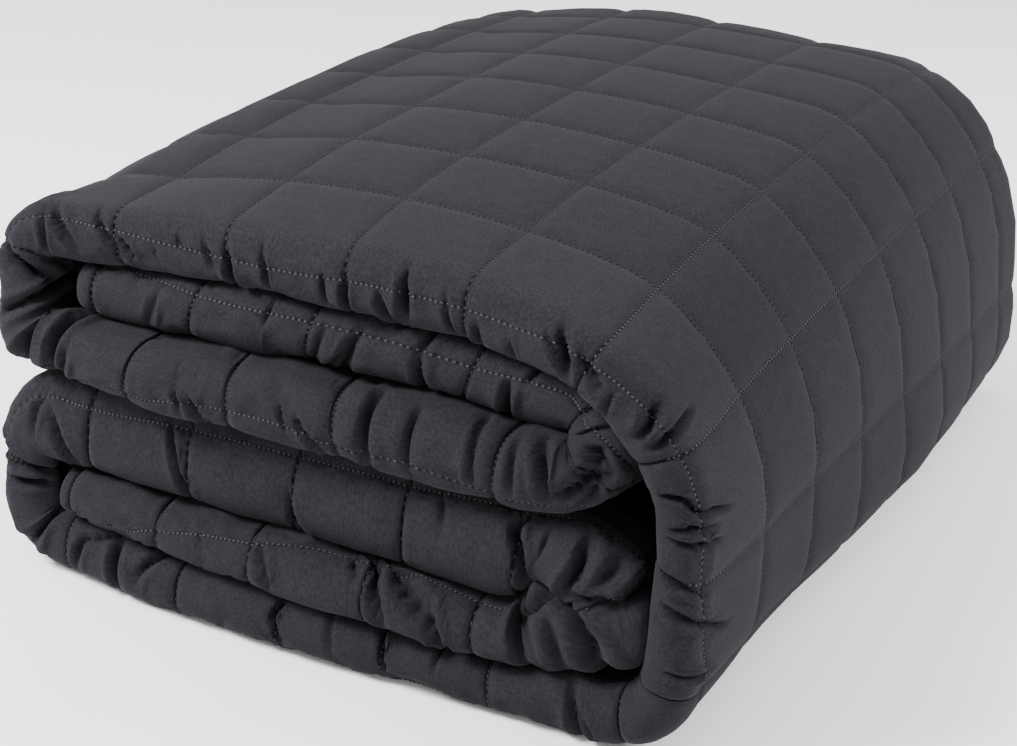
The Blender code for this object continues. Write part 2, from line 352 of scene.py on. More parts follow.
print("the front edge is lifted by up to, in mm:",
      round(max(lift for _, lift in FRONT_LIFT) / MM, 1))

# %% How the top is arched
ARCH = 0.19                           # height of the arch
ARCH_TOP = (2.8, 5.3)                 # where it is highest
FALL_LEFT, FALL_RIGHT, FALL_LENGTHWISE = 0.06, 0.038, 0.010
CORNER_SAG = 0.006                    # how much faster it falls towards the near corner
SHOULDER_HEIGHT = 0.09                # the left edge of the top is this much fuller
SHOULDER = (                          # (depth, share of that height)
    (-0.5, 0.0), (0.3, 0.35), (1.2, 0.9), (2, 1), (6.3, 1), (7.6, 0.4))
DROOP_FROM, DROOP_DEPTH = 6.9, 0.2    # y from which the top droops, and how far at most
DROOP = ((2, 0), (4, 1), (5, 0.8), (5.5, 0))     # (x, share of the droop)


def arch(x, y):
    """Height of the arch at a place."""
    top_x, top_y = ARCH_TOP
    fall = np.where(x < top_x, FALL_LEFT, FALL_RIGHT) * (x - top_x) ** 2
    fall += CORNER_SAG * np.clip(x - 3, 0, 2) ** 2 * (4 - y)
    fall *= np.interp(y, (-0.3, 1), (0.3, 1))
    return ARCH - FALL_LENGTHWISE * (y - top_y) ** 2 - fall


def edges_of_arch(x, y):
    """What the fuller left edge adds to the arch, and how far the back edge droops."""
    droop = DROOP_DEPTH * np.clip(y - DROOP_FROM, 0, 1) ** 2 * np.interp(x, *zip(*DROOP))
    shoulder = SHOULDER_HEIGHT * np.clip((1.1 - x) / 0.5, 0, 1)
    return shoulder * smooth(y, SHOULDER), droop


print("the top is arched by, in mm:", round(ARCH / MM, 1))

# %% Settling
INSET_FROM, FOOT_FROM = 4.9, 4.7      # x from which these two forms grow
GROWN_OVER = 0.9                      # and over how much
BIG_FOLD_INSET = 0.1                  # the big fold is pulled in this far
FOOT_LEVEL, FOOT_SPREAD = 3, 5        # height of its foot's bulge, and how far it spreads
FOOT = ((1.5, 0), (4.5, 0.2), (6, 0.16), (7.5, 0.1))     # (depth, how far the foot bulges)
HOLLOW = ((4.95, 0.32), (6, 1.8))     # (x, spread), (height, spread) of the turn's hollow
HOLLOW_INSET, HOLLOW_LIFT = 0.16, 0.24
LIP = ((5.4, 0.3), (8, 6))            # (x, spread), (height, spread) of the big fold's lip
LIP_PUSH = 0.13                       # the inner rolls push the lip out this far


def near(distance, reach, power=1.4):
    """1 on a line, falling to 0 away from it."""
    return np.exp(-(abs(distance) / reach) ** power)


def hump(x, level, place):
    """1 at a place at the front, falling to 0 away from it."""
    (middle_x, spread_x), (middle_level, spread_level) = place
    return near(x - middle_x, spread_x, 2) * near(level - middle_level, spread_level, 2)


def settle(x, y, z, seam):
    """Where a folded place comes to lie under the bundle's own weight."""
    y = y + np.clip(1 - y, 0, 1) * smooth(seam, FRONT_SETBACK)
    y = y + np.clip(y - 6.5, 0, 1) * smooth(seam, BACK_SETBACK)
    at_front = np.clip(1 - y, 0, 1)
    level = z / PLY
    height = np.clip(z - PLY, 0, None) / (HEIGHT - PLY)
    rise = arch(x, y)
    # the left side slides, more and more towards the top
    x = x + smooth(y, SKEW) * np.interp(x, (3, 6), (1, 0)) * height
    x = x - BIG_FOLD_INSET * np.clip((x - INSET_FROM) / GROWN_OVER, 0, 1)
    foot = near(level - FOOT_LEVEL, FOOT_SPREAD, 2)
    foot = foot * np.clip((x - FOOT_FROM) / GROWN_OVER, 0, 1)
    x = x + foot * np.interp(y, *zip(*FOOT))
    lift = front_lift(x, level)
    hollow, lip = hump(x, level, HOLLOW), hump(x, level, LIP)
    x = x + (LIP_PUSH * lip - HOLLOW_INSET * hollow) * at_front
    shoulder, droop = edges_of_arch(x, y)
    rise = rise + shoulder - droop
    return x, y, z + rise * height + (lift + HOLLOW_LIFT * hollow) * at_front


def folded(seam, width, level):
    """Carry points of the cloth to the bundle. The level is above the ply's middle."""
    seam, width = slid(seam, width)
    x, z, normal_x, normal_z = (np.interp(seam, WAY[:, 0], WAY[:, k])
                                for k in (1, 2, 3, 4))
    y, out, normal_y, normal_out = across(width)
    y = y + level * normal_y
    out = out + level * normal_out
    return np.stack(settle(x + out * normal_x, y, z + out * normal_z, seam), axis=-1)


crossing = folded(np.array([16.0]), np.array([0.0]), np.array([0.0]))[0]
print("seam 16 crosses the front seam at, in squares:", crossing.round(2).tolist())

# %% [markdown]
# ## Quilting
#
# Thread pulls the two faces together along every seam, and the beads fill the square
# between them. So each square is a little pillow: steep beside the seam and nearly flat
# in the middle. The dip has two parts, a narrow one that the thread makes and a wide,
# soft one in the filling. A bump map would be less work, but every seam also notches
# the outline of the folds, so the dips are in the mesh.

# %% Seams
def fold_share(width):
    """1 on the round front edge, 0 on the flat of a tier."""
    t = np.clip((0.45 - width) / 0.5, 0, 1)
    return t * t * (3 - 2 * t) * np.clip((width + 1.2) / 0.3, 0, 1)


def seam_dip(seam, width):
    """How far the outer face is drawn in at a place, in millimetres."""
    fold = fold_share(width)
    # the lowest tier is pressed flat on the floor, and the big fold is pulled taut
    on_floor = (seam > 20.6) & (seam < 25.2)
    pressed = np.where(on_floor, np.clip(-(width + 0.1) / 0.2, 0.25, 1), 1)
    full = np.interp(seam, (10, 14, 15.5, 20), (1.0, 0.9, 0.4, 0.4))
    # how far the nearest seam across the cloth is, and the nearest one along it
    off_cross, off_long = abs(seam - np.rint(seam)), abs(width - np.rint(width))
    wide = 1 - (1 - near(off_cross, 0.2)) * (1 - near(off_long, 0.2))
    narrow = 1 - (1 - near(off_cross, 0.045)) * (1 - near(off_long, 0.035))
    flat = 0.5 * full * wide + narrow
    rolled = (0.4 * near(off_cross, 0.15) + 1.1 * near(off_cross, 0.022, 1.2)
              + 0.3 * near(off_long, 0.12) + 0.8 * near(off_long, 0.025))
    return flat * (1 - fold) + rolled * fold * pressed


dips = seam_dip(np.array([3.0, 3.5]), np.array([4.5, 4.5]))
print("drawn in on a seam and in the middle of a square, in mm:", dips.round(2).tolist())

# %% [markdown]
# ## Gathers and creases
#
# Where the cloth bends round the front edge it has too much length on the inside of the
# bend, so it gathers into short, sharp creases at right angles to the front seam. There
# are about a hundred, and they make the bundle look hand folded. Noise would spread
# them evenly, which cloth never does. So each crease has its own place: a line from one
# place (seam, width) of the cloth to another, with a depth and a width in millimetres.

# %% Where the creases lie
CREASES = {
    "top": (
        ((11.84, 0.05), (12.04, -0.18), 3.2, 2.0), ((12.04, -0.06), (12.17, -0.16), 2.8, 2.0),
        ((12.6, 0.06), (12.6, 0.01), 1.3, 1.3), ((12.82, 0.03), (12.86, -0.08), 2.2, 1.5),
        ((13.01, -0.01), (13.02, -0.3), 3.4, 2.2), ((13.32, 0.06), (13.34, -0.16), 2.2, 1.4),
        ((13.81, -0.02), (13.81, -0.18), 2.6, 1.5), ((13.99, -0.04), (13.99, -0.3), 3.0, 2.0),
        ((14.5, 0.05), (14.51, -0.15), 4.6, 2.6), ((14.29, -0.07), (14.39, -0.34), 3.0, 2.2),
        ((12.34, -0.04), (12.37, -0.1), 1.2, 1.3), ((15.62, 0.01), (15.73, -0.1), 2.6, 1.6),
        ((15.72, 0.03), (15.83, -0.15), 5.5, 2.8), ((14.85, 0.0), (14.9, -0.25), 1.8, 1.6),
        ((15.1, -0.1), (15.12, -0.35), 2.4, 2.0), ((15.35, -0.12), (15.38, -0.3), 1.6, 1.6)),
    "big fold": (
        ((15.95, -0.02), (16.17, -0.11), 3.2, 2.2), ((16.56, 0.05), (16.67, -0.06), 4.6, 3.0),
        ((16.67, -0.06), (16.72, -0.16), 3.6, 2.6), ((16.76, 0.25), (16.81, 0.03), 3.2, 2.0),
        ((16.81, 0.03), (16.86, -0.13), 3.2, 2.2), ((16.3, -0.1), (16.4, -0.3), 1.8, 1.8),
        ((17.33, -0.22), (17.36, -0.08), 3.0, 1.6), ((17.38, -0.08), (17.47, -0.02), 3.4, 1.8),
        ((17.47, -0.02), (17.55, 0.27), 3.2, 1.7), ((17.65, -0.2), (17.61, -0.06), 2.6, 1.5),
        ((17.61, -0.06), (17.63, 0.08), 2.8, 1.5), ((17.73, -0.2), (17.75, -0.07), 2.8, 1.5),
        ((17.73, -0.05), (17.75, 0.15), 2.8, 1.6), ((18.0, -0.3), (18.05, -0.02), 2.4, 1.6),
        ((18.17, -0.25), (18.25, 0.05), 3.0, 1.8), ((18.25, 0.05), (18.37, 0.27), 2.8, 1.7),
        ((18.62, -0.25), (18.75, 0.08), 2.8, 2.0)),
    "left turns": (
        ((11.35, 0.05), (11.5, -0.1), 3.0, 1.6), ((11.4, 0.05), (11.61, -0.2), 3.4, 2.2),
        ((11.3, 0.02), (11.31, -0.25), 2.4, 1.8), ((10.1, -0.85), (10.0, -0.02), 6.5, 3.4),
        ((9.63, -0.7), (9.75, 0.0), 5.5, 3.0), ((10.6, -0.75), (10.4, -0.15), 6.5, 3.4),
        ((10.95, -0.08), (10.62, -0.45), 5.0, 3.0), ((10.35, -0.85), (11.3, -0.78), 6.0, 5.0),
        ((26.5, -0.03), (26.41, -0.14), 2.2, 1.8), ((26.1, 0.2), (26.0, -0.35), 4.5, 2.6),
        ((25.8, -0.05), (25.85, -0.35), 4.5, 2.6), ((25.2, -0.5), (25.35, -0.05), 4.5, 2.6),
        ((25.5, -0.6), (26.1, -0.55), 6.0, 4.5)),
    "second": (
        ((0.67, -0.07), (0.59, -0.3), 1.2, 2.5), ((1.65, 0.05), (1.65, -0.08), 1.6, 1.5),
        ((2.09, -0.02), (2.06, -0.38), 1.6, 2.0), ((2.29, -0.02), (2.25, -0.4), 3.2, 2.4),
        ((2.22, -0.2), (2.16, -0.38), 1.8, 1.6), ((2.67, 0.15), (2.66, 0.0), 2.6, 2.0),
        ((2.67, -0.06), (2.77, -0.4), 2.8, 2.0), ((3.3, -0.08), (3.37, -0.4), 3.4, 2.2),
        ((3.43, 0.03), (3.46, 0.1), 3.4, 2.2), ((4.04, 0.04), (4.02, 0.14), 2.8, 2.2)),
    "upper right turn": (
        ((4.57, -0.12), (4.8, -0.26), 3.8, 2.4), ((4.8, -0.26), (5.1, -0.23), 4.4, 2.6),
        ((5.1, -0.23), (5.53, -0.11), 4.2, 2.4), ((4.74, -0.18), (5.02, -0.18), 3.6, 2.2),
        ((5.02, -0.18), (5.28, -0.06), 3.6, 2.2), ((4.3, -0.1), (4.28, 0.1), 1.8, 2.0)),
    "third": (
        ((9.58, -0.2), (9.68, 0.05), 2.8, 2.2), ((8.49, -0.08), (8.45, 0.03), 1.8, 1.4),
        ((8.34, -0.01), (8.24, 0.1), 3.6, 1.9), ((7.49, -0.13), (7.44, 0.0), 1.8, 1.3),
        ((7.31, -0.07), (7.15, 0.05), 3.6, 1.9), ((6.77, -0.5), (6.79, 0.05), 3.4, 2.2),
        ((6.52, -0.4), (6.52, 0.0), 2.4, 1.6), ((6.2, -0.58), (6.12, -0.05), 2.0, 1.7),
        ((5.75, -0.45), (5.6, -0.1), 3.2, 2.4), ((5.9, -0.4), (5.85, -0.1), 1.8, 1.8)),
    "fourth": (
        ((26.62, -0.11), (26.77, -0.3), 3.0, 2.2), ((27.81, 0.0), (27.86, -0.11), 2.2, 1.5),
        ((27.86, -0.11), (27.98, -0.28), 2.6, 1.6), ((28.95, -0.19), (29.12, -0.4), 3.0, 2.2),
        ((30.3, 0.0), (30.36, -0.14), 1.4, 1.6), ((31.07, -0.03), (30.98, -0.12), 3.2, 2.2),
        ((30.98, -0.12), (31.1, -0.28), 4.2, 2.5), ((31.1, -0.28), (31.2, -0.4), 4.2, 2.5),
        ((31.3, -0.23), (31.3, -0.13), 1.6, 2.0)),
    "lower right turn": (
        ((31.76, -0.34), (31.66, -0.16), 5.5, 3.2), ((31.87, -0.23), (31.87, -0.13), 2.0, 2.4),
        ((31.86, -0.36), (32.03, -0.3), 4.0, 2.2), ((32.03, -0.3), (32.03, 0.0), 3.6, 2.0),
        ((31.95, -0.46), (32.19, -0.44), 4.6, 2.3), ((32.19, -0.44), (32.27, -0.28), 4.6, 2.3),
        ((32.27, -0.28), (32.27, 0.05), 3.6, 2.0), ((32.35, -0.56), (32.49, -0.42), 5.0, 2.6),
        ((32.49, -0.42), (32.57, -0.05), 5.0, 2.6), ((32.57, -0.05), (32.6, 0.2), 4.5, 2.8),
        ((32.36, -0.42), (32.42, -0.2), 1.8, 1.6), ((31.95, -0.46), (32.28, -0.51), 5.0, 2.8)),
    "fifth": (
        ((34.91, 0.02), (34.78, 0.16), 2.4, 1.7), ((34.06, -0.23), (33.91, 0.08), 3.6, 2.3),
        ((33.91, 0.08), (33.79, 0.2), 3.8, 2.6), ((33.74, 0.02), (33.35, 0.16), 4.2, 2.6),
        ((33.35, 0.16), (33.2, 0.3), 4.2, 2.6), ((34.17, 0.0), (34.07, 0.08), 1.8, 1.4),
        ((35.56, 0.0), (35.48, 0.06), 1.2, 1.3)),
    "bottom": (
        ((24.9, -0.17), (24.83, -0.34), 2.4, 1.8), ((24.83, -0.34), (24.61, -0.46), 2.4, 1.8),
        ((24.56, -0.42), (24.55, -0.13), 4.0, 2.2), ((24.19, -0.52), (24.34, -0.28), 3.0, 2.2),
        ((22.97, -0.44), (23.04, -0.34), 2.8, 1.8), ((23.04, -0.34), (22.94, -0.2), 2.8, 1.8),
        ((21.93, -0.56), (22.0, -0.44), 2.8, 1.8), ((22.0, -0.44), (21.96, -0.2), 2.8, 1.7),
        ((20.45, -0.45), (20.35, -0.05), 2.6, 2.2), ((20.37, -0.32), (20.3, -0.2), 2.2, 1.7),
        ((21.4, -0.5), (21.45, -0.3), 1.6, 2.0), ((22.5, -0.5), (22.45, -0.25), 1.4, 2.4)),
}
print("creases:", sum(len(group) for group in CREASES.values()))

# %% Creases
CREASE_DEPTH = 1.6                    # all depths in the list are multiplied by this


def creased(seam, width):
    """Depth of the creases at a place in millimetres, and how much painted shade darkens their
    inside.
    """
    dip, dark = np.zeros(seam.shape), np.zeros(seam.shape)
    for (s0, w0), (s1, w1), depth, breadth in (c for group in CREASES.values()
                                               for c in group):
        reach = 5 * breadth * MM
        columns = np.flatnonzero((seam[:, 0] > min(s0, s1) - reach)
                                 & (seam[:, 0] < max(s0, s1) + reach))
        if not len(columns):
            continue
        s, w = seam[columns], width[columns]
        ds, dw = s1 - s0, w1 - w0
        length = math.hypot(ds, dw)
        along = ((s - s0) * ds + (w - w0) * dw) / length ** 2
        off = abs((s - s0) * dw - (w - w0) * ds) / length / (breadth * MM)
        beyond = np.clip(abs(along - 0.5) - 0.5, 0, None) * length / (breadth * MM)
        belly = 0.55 + 0.45 * np.sin(math.pi * np.clip(along, 0, 1))
        taper = np.exp(-beyond ** 2) * belly
        # a sharp valley with a low ridge on either side
        shape = near(off, 0.6, 1.1) - 0.25 * near(off - 1.5, 0.7, 2)
        dip[columns] += CREASE_DEPTH * depth * taper * shape
        # painted shade: how far the inside of the crease is darkened in the cloth's colour
        inside = near(off, 0.5, 2) * taper * min(1, depth / 2.5)
        dark[columns] = np.maximum(dark[columns], inside)
    return dip, dark


crease_test = np.meshgrid(np.linspace(16, 17, 101), np.linspace(-0.3, 0.3, 61), indexing="ij")
print("deepest crease from seam 16 to 17, in mm:", creased(*crease_test)[0].max().round(1))

# %% [markdown]
# ## Soft wrinkles
#
# No cloth lies quite flat, so the squares also rise and fall a little. A Displace
# modifier could do that, but the stitches have to follow, so it is worked out here with
# all that lifts the cloth. The noise comes from whole numbers and is the same on every
# run.

# %% Noise
def noise(x, y, seed):
    """Smooth noise from -1 to 1 that changes over a distance of 1."""
    x0, y0 = np.floor(x).astype(np.int64), np.floor(y).astype(np.int64)

    def corner(dx, dy):
        mixed = (x0 + dx) * 374761393 + (y0 + dy) * 668265263 + seed * 974634777
        mixed = (mixed ^ (mixed >> 13)) * 1274126177
        mixed = mixed ^ (mixed >> 16)
        return (mixed & 0xFFFF) / 32767.5 - 1

    tx, ty = x - x0, y - y0
    tx, ty = tx * tx * (3 - 2 * tx), ty * ty * (3 - 2 * ty)
    return ((corner(0, 0) * (1 - tx) + corner(1, 0) * tx) * (1 - ty)
            + (corner(0, 1) * (1 - tx) + corner(1, 1) * tx) * ty)


def wrinkles(seam, width):
    """The soft rise and fall of the cloth, in millimetres."""
    soft = noise(seam * 1.7, width * 1.4, 5) + 0.5 * noise(seam * 3.9, width * 3.1, 6)
    return soft * (0.25 + 0.6 * fold_share(width))


some_wrinkles = wrinkles(np.array([1.5, 2.5, 3.5]), np.array([4.5, 4.5, 4.5]))
print("wrinkles in three squares, in mm:", some_wrinkles.round(2).tolist())

# %% Height of the outer face
FIRST_END, LAST_END = -0.2, 37.2      # the free edges at the ends of the cloth
CROWN = 0.5                           # how far a square's middle stands up, in millimetres
HEM_WIDTH = 0.12                      # the cloth grows thin over this strip


def hemmed(level, seam, width):
    """The cloth grows thin towards its free edges."""
    inward = np.minimum(np.minimum(seam - FIRST_END, LAST_END - seam),
                        np.minimum(width - HEM_UNDER, HEM_INSIDE - width))
    share = np.clip(inward / HEM_WIDTH, 0, 1) ** 0.5
    return level * share + HEM / 2 * (1 - share)


def relief(seam, width):
    """Height of the outer face above the ply's middle, in squares."""
    crown = (abs(np.sin(math.pi * seam)) * abs(np.sin(math.pi * width))) ** 0.7
    crown = crown * (1 - fold_share(width)) * CROWN
    bumps = crown + wrinkles(seam, width) - seam_dip(seam, width)
    bumps = bumps - creased(seam, width)[0]
    # cloth that lies between the plies never shows, and stays plain
    outside = (seam > 9) & (seam < 27.6)
    shown = (width > -1.2) & (width < 7.9) & ((width < 1) | outside)
    level = PUFF / 2 + np.where(shown, bumps, 0) * MM
    return hemmed(level, seam, width)


print("thickness at a square's middle and at the hems, in mm:", round(PUFF / MM + CROWN, 1),
      round(HEM / MM, 1))

# %% [markdown]
# ## The cloth as one closed sheet
#
# The two faces of the cloth are closed along the hems, so our mesh is closed too. A
# grid with a Solidify modifier would be simpler, but it would need the finest points
# everywhere. So the outer face is made in three bands. The one that goes round the
# front edge has more than four times as many columns of points as the others, because
# all the fine creases are there. Where two bands meet, each wide face takes in all the
# points of the narrow ones. The inner face lies hidden between the plies and has few
# points, and a rim joins the faces along the hems.

# %% How close the points lie
ACROSS_SQUARE = (0, 0.03, 0.09, 0.22, 0.5, 0.78, 0.91, 0.97)     # denser near its seams
GAP_AT_SEAM, GAP_IN_CREASE, PLAIN_GAP = 0.016, 0.019, 0.066      # between fine columns


def spaced(first, last, steps):
    """The same steps in every square from one seam to another."""
    return [whole + step for whole in range(first, last) for step in steps]


def widest_gap(place):
    """How far apart columns may be at the front edge: closer in creases and seams."""
    if abs(place - round(place)) < 0.06:
        return GAP_AT_SEAM
    for (s0, _), (s1, _), _, breadth in (c for group in CREASES.values() for c in group):
        if min(s0, s1) - 1.4 * breadth * MM < place < max(s0, s1) + 1.4 * breadth * MM:
            return GAP_IN_CREASE
    return PLAIN_GAP


def finer(places, widest):
    """Share each gap out evenly, so that none is wider than this at its middle."""
    every = []
    for start, end in zip(places, places[1:]):
        parts = math.ceil((end - start) / widest((start + end) / 2) - 0.01)
        every.extend(start + (end - start) * k / parts for k in range(parts))
    return np.array(every + [places[-1]])


print("gaps at the front, at a seam and elsewhere, in mm:", round(GAP_AT_SEAM / MM, 1),
      round(PLAIN_GAP / MM, 1))

# %% Rows and columns of points
columns = np.array([-0.2, -0.17, -0.1] + spaced(0, 37, ACROSS_SQUARE)
                   + [37, 37.1, 37.17, 37.2])
fine_columns = finer(finer(columns, lambda place: PLAIN_GAP), widest_gap)
hidden_rows = np.array([-8.25, -8.2] + [whole - 0.5 for whole in range(-7, -1)] + [-1.05])
front_rows = np.concatenate((np.linspace(-1.05, -0.75, 5)[:-1],
                             np.arange(-0.75, -0.02, 0.04),
                             (-0.025, 0, 0.025), np.arange(0.06, 0.3, 0.045),
                             (0.34, 0.42, 0.52, 0.64, 0.77)))
flat_rows = np.array([0.77, 0.88, 0.96] + spaced(1, 7, ACROSS_SQUARE)
                     + [7, 7.03, 7.1, 7.2, 7.3, 7.4, 7.5, 7.55, 7.6, 7.65, 7.7, 7.75, 7.8]
                     + [8.2] + [whole + 0.0 for whole in range(9, 15)] + [15.2, 15.25])
inner_columns = np.concatenate((columns[::4], columns[-1:]))
inner_rows = np.concatenate((hidden_rows, (-0.8, -0.6, -0.5, -0.4, -0.3, -0.2, -0.1, 0.1),
                             flat_rows[::4], flat_rows[-1:]))
inner_rows = np.unique(inner_rows)
print("rows:", len(front_rows), len(flat_rows), "columns:", len(columns),
      len(fine_columns), "inner:", len(inner_columns), len(inner_rows))

# %% Bands of points
points, flat_places, faces = [], [], []


def band(seams, widths, inner=False):
    """Add a band's points and faces, and return the numbers of its points."""
    seam, width = np.meshgrid(seams, widths, indexing="ij")
    if inner:
        level = -hemmed(np.full(seam.shape, PUFF / 2), seam, width)
    else:
        level = relief(seam, width)
    first = sum(len(group) for group in points)
    numbers = first + np.arange(seam.size).reshape(seam.shape)
    points.append(folded(seam, width, level).reshape(-1, 3))
    flat_places.append(np.column_stack((seam.ravel(), width.ravel())))
    square = (numbers[:-1, :-1], numbers[1:, :-1], numbers[1:, 1:], numbers[:-1, 1:])
    if inner:
        square = square[::-1]
    faces.extend(np.stack(square, axis=-1).reshape(-1, 4).tolist())
    return numbers


def join(wide, wide_places, narrow, narrow_places, flip=False):
    """Join the edges of two bands; the narrow one has points at all the wide one's."""
    at = np.searchsorted(narrow_places, np.array(wide_places) - 1e-6)
    for k in range(len(wide) - 1):
        face = list(narrow[at[k]:at[k + 1] + 1]) + [wide[k + 1], wide[k]]
        faces.append([int(number) for number in (face[::-1] if flip else face)])


hidden = band(columns, hidden_rows[:-1])
front = band(fine_columns, front_rows)
flat = band(columns, flat_rows[1:])
inside = band(inner_columns, inner_rows, inner=True)
join(hidden[:, -1], columns, front[:, 0], fine_columns, flip=True)
join(flat[:, 0], columns, front[:, -1], fine_columns)
print("points:", sum(len(group) for group in points))

# %% Rims along the hems
join(inside[:, 0], inner_columns, hidden[:, 0], columns)
join(inside[:, -1], inner_columns, flat[:, -1], columns, flip=True)
outer_rows = np.concatenate((hidden_rows[:-1], front_rows, flat_rows[1:]))
for end, flip in ((0, True), (-1, False)):
    outer_end = np.concatenate((hidden[end], front[end], flat[end]))
    near_rows = np.array([outer_rows[abs(outer_rows - row).argmin()]
                          for row in inner_rows])
    join(inside[end], near_rows, outer_end, outer_rows, flip=flip)
print("faces:", len(faces), "triangles:", sum(len(face) - 2 for face in faces))

# %% [markdown]
# ## Letting the cloth gather
#
# Thread is tighter than the cloth it holds, so real quilting gathers in small puckers
# beside its seams. Drawing those by hand looks like dough. So the band round the front
# edge is simulated as cloth a little larger than its place, with its seams held fast,
# and it finds its own puckers within a few frames. No point may move further than the
# filling would let it.

# %% Places in metres
def to_metres(places, lowest=0.0):
    """From squares to metres; whatever would hang lower lies on the floor."""
    metres = (places - np.array(CENTRE)) * SQUARE
    metres[..., 2] = np.maximum(metres[..., 2], cad_low[2] + lowest)
    return metres


places = np.concatenate([to_metres(group) for group in points])
print("height of the bundle in mm:", round(1000 * float(np.ptp(places[:, 2])), 1))

# %% A cloth that gathers
TOO_LARGE = 0.035                     # share by which the cloth is larger than its place
FRAMES = 5
FURTHEST = 0.004                      # no point moves further than this, in metres


def gathered(start, numbers, held):
    """Where the cloth's points go when it is a little too large for its place."""
    corners = (numbers[:-1, :-1], numbers[1:, :-1], numbers[1:, 1:], numbers[:-1, 1:])
    quads = np.stack(corners, axis=-1).reshape(-1, 4)
    shape = bpy.data.meshes.new("gathering")
    shape.from_pydata(start.tolist(), [], quads.tolist())
    cloth = bpy.data.objects.new("gathering", shape)
    bpy.context.scene.collection.objects.link(cloth)
    group = cloth.vertex_groups.new(name="held")
    group.add(np.flatnonzero(held).tolist(), 1.0, "REPLACE")
    modifier = cloth.modifiers.new("cloth", "CLOTH")
    settings = modifier.settings
    settings.quality = 4
    settings.mass = 0.05
    settings.tension_stiffness = settings.compression_stiffness = 12
    settings.shear_stiffness = 5
    settings.bending_stiffness = 0.01
    settings.vertex_group_mass = "held"
    settings.use_pressure = True
    settings.uniform_pressure_force = 0.2
    settings.shrink_min = -TOO_LARGE
    settings.shrink_max = 0
    settings.effector_weights.gravity = 0
    modifier.collision_settings.use_collision = False
    for frame in range(1, FRAMES + 1):
        bpy.context.scene.frame_set(frame)
    evaluated = cloth.evaluated_get(bpy.context.evaluated_depsgraph_get()).data
    end = np.empty(start.size)
    evaluated.vertices.foreach_get("co", end)
    bpy.data.objects.remove(cloth)
    bpy.context.scene.frame_set(1)
    move = end.reshape(-1, 3) - start
    size = np.linalg.norm(move, axis=1, keepdims=True)
    return start + move * np.minimum(1, FURTHEST / np.maximum(size, 1e-9))


print("the cloth is too large by, in percent:", round(100 * TOO_LARGE, 1))

# %% Let the front edge gather
front_points = front.ravel()
seam, width = np.concatenate(flat_places)[front_points].T
on_seam = (abs(seam - np.rint(seam)) < 0.02) | (abs(width - np.rint(width)) < 0.012)
# on the outside of the bundle the flat squares are held from close behind the edge
on_outside = (seam > 11.4) & (seam < 20.7)
held = on_seam | (width < -0.9) | (width > np.where(on_outside, 0.1, 0.4))
held |= (seam < -0.1) | (seam > 37.1)
first = front_points[0]
places[front_points] = gathered(places[front_points], front - first, held)
places[:, 2] = np.maximum(places[:, 2], cad_low[2])
print("points of the front edge that are free to move:", int((~held).sum()))

# %% One closed mesh
mesh = bpy.data.meshes.new("quilted_cloth")
mesh.from_pydata(places.tolist(), [], faces)
mesh.update()
mesh.shade_smooth()
blanket = bpy.data.objects.new("quilted_cloth", mesh)
bpy.context.scene.collection.objects.link(blanket)
cloth_map = mesh.uv_layers.new(name="cloth")
corner_points = np.empty(len(mesh.loops), dtype=np.int32)
mesh.loops.foreach_get("vertex_index", corner_points)
cloth_map.data.foreach_set("uv", np.concatenate(flat_places)[corner_points].ravel())
# painted shade: how far the cloth's colour is darkened inside the deep creases, kept on each
# point
painted_crease_shade = mesh.attributes.new("painted_crease_shade", "FLOAT", "POINT")
dark = np.zeros(len(places))
front_seam, front_width = np.meshgrid(fine_columns, front_rows, indexing="ij")
dark[front_points] = creased(front_seam, front_width)[1].ravel()
painted_crease_shade.data.foreach_set("value", dark)
print("cloth's triangles:", sum(len(face) - 2 for face in faces))

# %% [markdown]
# ## Shader maths, written as sums
#
# The colour of cloth and thread is worked out by nodes. They could be placed and linked
# one by one, but a node tree is easier to read as an expression. This small class wraps
# a socket, so that a * b adds a Math node, and one method adds any other node.

# %% Sockets as values
class Value:
    """A socket of a node tree, or the tree itself where socket is None."""

    def __init__(self, tree, socket=None):
        self.tree, self.socket = tree, socket

    def node(self, kind, inputs=(), output=0, **settings):
        """Add a node: its settings first, then the values or links of its sockets."""
        node = self.tree.nodes.new(kind)
        for name, setting in settings.items():
            setattr(node, name, setting)
        for name, given in dict(inputs).items():
            if isinstance(given, Value):
                self.tree.links.new(given.socket, node.inputs[name])
            else:
                node.inputs[name].default_value = given
        return Value(self.tree, node.outputs[output])

    def maths(self, operation, first, second):
        return self.node("ShaderNodeMath", {0: first, 1: second}, operation=operation)

    def __add__(self, other):
        return self.maths("ADD", self, other)

    def __radd__(self, other):
        return self.maths("ADD", other, self)

    def __sub__(self, other):
        return self.maths("SUBTRACT", self, other)

    def __rsub__(self, other):
        return self.maths("SUBTRACT", other, self)

    def __mul__(self, other):
        return self.maths("MULTIPLY", self, other)

    def __rmul__(self, other):
        return self.maths("MULTIPLY", other, self)

    def __truediv__(self, other):
        return self.maths("DIVIDE", self, other)

    def __rtruediv__(self, other):
        return self.maths("DIVIDE", other, self)


print("sockets can be added, subtracted, multiplied and divided")


# %% New materials
def new_material(name, **uniform):
    """A material with one shader; values that are the same all over are set on it."""
    material = bpy.data.materials.new(name)
    material.use_nodes = True
    shader = material.node_tree.nodes["Principled BSDF"]
    for socket, value in uniform.items():
        shader.inputs[socket.replace("_", " ")].default_value = value
    print("material:", name)
    return material, shader, Value(material.node_tree)


# %% [markdown]
# ## Microfibre cloth
#
# The nap is short and matt, with a faint sheen at grazing angles. Close up it is a fine
# grain; from further off the squares vary a little in tone. The thread draws the cloth
# into a little hole between one stitch and the next, and painted shade darkens each hole.
# On the round edges the cross seams are sunk deep, and painted shade draws them as a thin
# dark zigzag. Painted shade also darkens the inside of the deep creases.
#
# An image texture could hold all this, but it would blur close up. The mesh carries
# the cloth's own coordinates, which count squares. So the seams lie at whole numbers,
# the stitches are counted off along them, and formulas stay sharp at any distance.

# %% Cloth material
GRAIN, MOTTLE = 50.0, 9.0             # patches of tone along one square, fine and coarse

